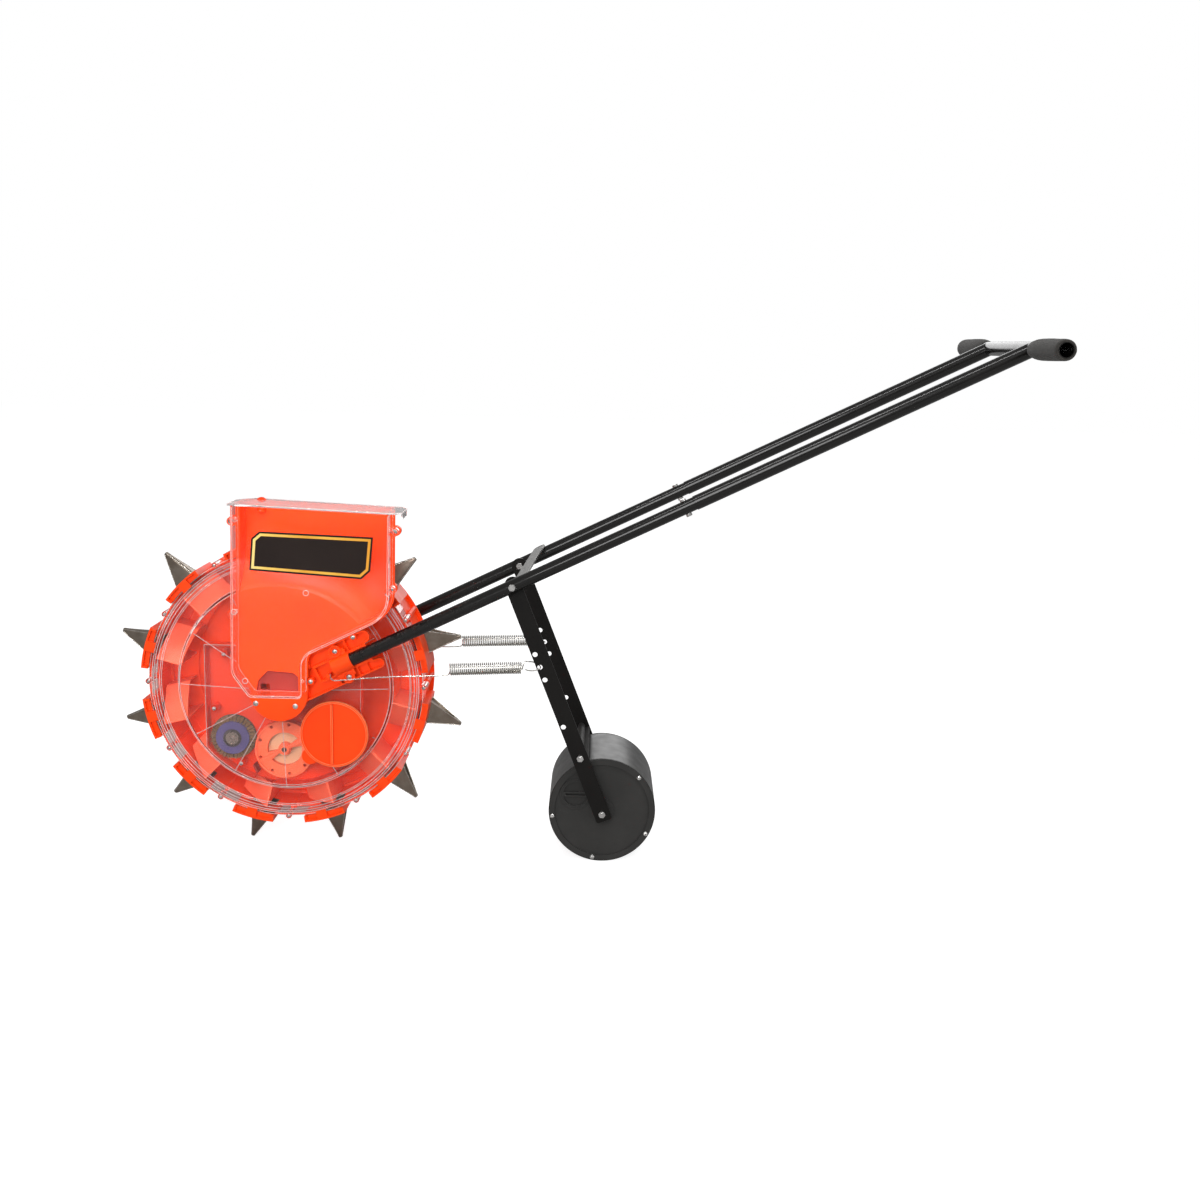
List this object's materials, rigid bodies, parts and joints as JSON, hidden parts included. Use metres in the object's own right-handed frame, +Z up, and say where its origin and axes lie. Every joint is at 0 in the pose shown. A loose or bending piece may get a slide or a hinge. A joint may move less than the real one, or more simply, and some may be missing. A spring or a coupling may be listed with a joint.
{
  "type": "push seeder",
  "caption": "Push seeder: seed wheel with steel beaks and inner metering disc, clear side hopper, sprung press roller, two-tube handle with foam grips.",
  "frame": {"origin": "bottom centre of the bounding box, on the ground between the wheel and the press roller", "axes": "+Z up, +X towards the handlebar and the user, -Y towards the side that carries the hopper"},
  "size_m": [1.3789, 0.505, 0.824],
  "materials": {
    "orange": "satin moulded orange polymer",
    "clear": "clear polycarbonate with a pink cast",
    "zinc": "bright zinc plate",
    "black_paint": "glossy black powder coat on steel",
    "foam": "closed-cell foam",
    "beak_steel": "satin nickel-plated folded sheet steel",
    "flap_steel": "dark pressed steel",
    "dark_plastic": "moulded dark grey polymer",
    "gear_plastic": "dark moulded nylon",
    "bristle": "brown nylon bristle",
    "brush_core": "blue-violet moulded polymer",
    "brush_hub": "machined steel",
    "wiper": "soft red rubber",
    "label": "black printed film with a gold border line"
  },
  "bodies": {
    "frame": {"near_bracket": "orange", "far_bracket": "orange", "tube_clamps": "orange", "axle_rod": "zinc", "lower_tube_near": "black_paint", "lower_tube_far": "black_paint", "upper_tube_near": "black_paint", "upper_tube_far": "black_paint", "handlebar": "black_paint", "grip_near": "foam", "grip_far": "foam", "tie_strap": "zinc", "handle_bolts": "zinc", "bracket_screws": "zinc", "chamber_body": "orange", "chamber_cover": "clear", "chamber_screws": "zinc", "seed_wiper": "wiper", "hopper_back": "orange", "hopper_front": "clear", "hopper_screws": "zinc", "hopper_label": "label", "lid_pivot": "orange", "press_springs": "zinc"},
    "wheel": {"drum_cover": "clear", "drum_shell": "orange", "seed_dividers": "orange", "beak_holders": "orange", "beaks": "beak_steel", "flap_pins": "zinc", "rim_screws": "zinc", "hub_bearings": "dark_plastic", "drive_gear": "gear_plastic"},
    "cap": {"access_cap": "orange"},
    "metering": {"metering_disc": "orange", "metering_gear": "gear_plastic"},
    "brush": {"brush_bristles": "bristle", "brush_core": "brush_core", "brush_gear": "brush_hub"},
    "lid": {"hopper_lid": "clear"},
    "fork": {"fork_arm_near": "black_paint", "fork_arm_far": "black_paint", "fork_bolts": "zinc", "roller_scraper": "dark_plastic"},
    "roller": {"press_roller": "dark_plastic", "roller_ends": "dark_plastic", "roller_screws": "zinc"},
    "filler": {"filler_cap": "dark_plastic"},
    "flap_body_01": {"flap_01": "flap_steel"},
    "flap_body_02": {"flap_02": "flap_steel"},
    "flap_body_03": {"flap_03": "flap_steel"},
    "flap_body_04": {"flap_04": "flap_steel"},
    "flap_body_05": {"flap_05": "flap_steel"},
    "flap_body_06": {"flap_06": "flap_steel"},
    "flap_body_07": {"flap_07": "flap_steel"},
    "flap_body_08": {"flap_08": "flap_steel"},
    "flap_body_09": {"flap_09": "flap_steel"},
    "flap_body_10": {"flap_10": "flap_steel"},
    "flap_body_11": {"flap_11": "flap_steel"},
    "flap_body_12": {"flap_12": "flap_steel"}
  },
  "joints": [
    {"name": "wheel_spin", "type": "hinge", "parent": "frame", "child": "wheel", "pos_m": [-0.42186, 0, 0.26756], "axis": [0, -1, 0], "continuous": true},
    {"name": "metering_spin", "type": "hinge", "parent": "frame", "child": "metering", "pos_m": [-0.42681, 0, 0.16268], "axis": [0, -1, 0], "continuous": true},
    {"name": "brush_spin", "type": "hinge", "parent": "frame", "child": "brush", "pos_m": [-0.50757, 0, 0.17955], "axis": [0, -1, 0], "continuous": true},
    {"name": "lid_swing", "type": "hinge", "parent": "frame", "child": "lid", "pos_m": [-0.44886, -0.07, 0.55555], "axis": [0.0326, 0, 0.9995], "range_deg": [-100, 0]},
    {"name": "fork_swing", "type": "hinge", "parent": "frame", "child": "fork", "pos_m": [-0.06999, 0, 0.44124], "axis": [0, -1, 0], "range_deg": [-15, 25], "stiffness_Nm_per_rad": 12, "springref_deg": -25.21, "deforming": ["press_springs"]},
    {"name": "roller_spin", "type": "hinge", "parent": "fork", "child": "roller", "pos_m": [0.07313, 0, 0.0834], "axis": [0, -1, 0], "continuous": true},
    {"name": "filler_turn", "type": "hinge", "parent": "roller", "child": "filler", "pos_m": [0.03143, -0.07, 0.1084], "axis": [0, -1, 0], "range_deg": [0, 90]},
    {"name": "cap_turn", "type": "hinge", "parent": "wheel", "child": "cap", "pos_m": [-0.34186, -0.08, 0.19956], "axis": [0, -1, 0], "range_deg": [0, 40]},
    {"name": "flap_hinge_01", "type": "hinge", "parent": "wheel", "child": "flap_body_01", "pos_m": [-0.2212, 0, 0.34742], "axis": [0, -1, 0], "range_deg": [0, 16], "stiffness_Nm_per_rad": 0.05, "springref_deg": -8.59},
    {"name": "flap_hinge_02", "type": "hinge", "parent": "wheel", "child": "flap_body_02", "pos_m": [-0.28801, 0, 0.43706], "axis": [0, -1, 0], "range_deg": [0, 16], "stiffness_Nm_per_rad": 0.05, "springref_deg": -8.59},
    {"name": "flap_hinge_03", "type": "hinge", "parent": "wheel", "child": "flap_body_03", "pos_m": [-0.39069, 0, 0.48128], "axis": [0, -1, 0], "range_deg": [0, 16], "stiffness_Nm_per_rad": 0.05, "springref_deg": -8.59},
    {"name": "flap_hinge_04", "type": "hinge", "parent": "wheel", "child": "flap_body_04", "pos_m": [-0.50172, 0, 0.46823], "axis": [0, -1, 0], "range_deg": [0, 16], "stiffness_Nm_per_rad": 0.05, "springref_deg": -8.59},
    {"name": "flap_hinge_05", "type": "hinge", "parent": "wheel", "child": "flap_body_05", "pos_m": [-0.59136, 0, 0.40142], "axis": [0, -1, 0], "range_deg": [0, 16], "stiffness_Nm_per_rad": 0.05, "springref_deg": -8.59},
    {"name": "flap_hinge_06", "type": "hinge", "parent": "wheel", "child": "flap_body_06", "pos_m": [-0.63558, 0, 0.29874], "axis": [0, -1, 0], "range_deg": [0, 16], "stiffness_Nm_per_rad": 0.05, "springref_deg": -8.59},
    {"name": "flap_hinge_07", "type": "hinge", "parent": "wheel", "child": "flap_body_07", "pos_m": [-0.62253, 0, 0.1877], "axis": [0, -1, 0], "range_deg": [0, 16], "stiffness_Nm_per_rad": 0.05, "springref_deg": -8.59},
    {"name": "flap_hinge_08", "type": "hinge", "parent": "wheel", "child": "flap_body_08", "pos_m": [-0.55572, 0, 0.09807], "axis": [0, -1, 0], "range_deg": [0, 16], "stiffness_Nm_per_rad": 0.05, "springref_deg": -8.59},
    {"name": "flap_hinge_09", "type": "hinge", "parent": "wheel", "child": "flap_body_09", "pos_m": [-0.45304, 0, 0.05385], "axis": [0, -1, 0], "range_deg": [0, 16], "stiffness_Nm_per_rad": 0.05, "springref_deg": -8.59},
    {"name": "flap_hinge_10", "type": "hinge", "parent": "wheel", "child": "flap_body_10", "pos_m": [-0.34201, 0, 0.06689], "axis": [0, -1, 0], "range_deg": [0, 16], "stiffness_Nm_per_rad": 0.05, "springref_deg": -8.59},
    {"name": "flap_hinge_11", "type": "hinge", "parent": "wheel", "child": "flap_body_11", "pos_m": [-0.25237, 0, 0.13371], "axis": [0, -1, 0], "range_deg": [0, 16], "stiffness_Nm_per_rad": 0.05, "springref_deg": -8.59},
    {"name": "flap_hinge_12", "type": "hinge", "parent": "wheel", "child": "flap_body_12", "pos_m": [-0.20815, 0, 0.23639], "axis": [0, -1, 0], "range_deg": [0, 16], "stiffness_Nm_per_rad": 0.05, "springref_deg": -8.59}
  ],
  "couplings": [
    {"joint": "metering_spin", "follows": "wheel_spin", "ratio": -1.3333},
    {"joint": "brush_spin", "follows": "wheel_spin", "ratio": 1.6}
  ]
}
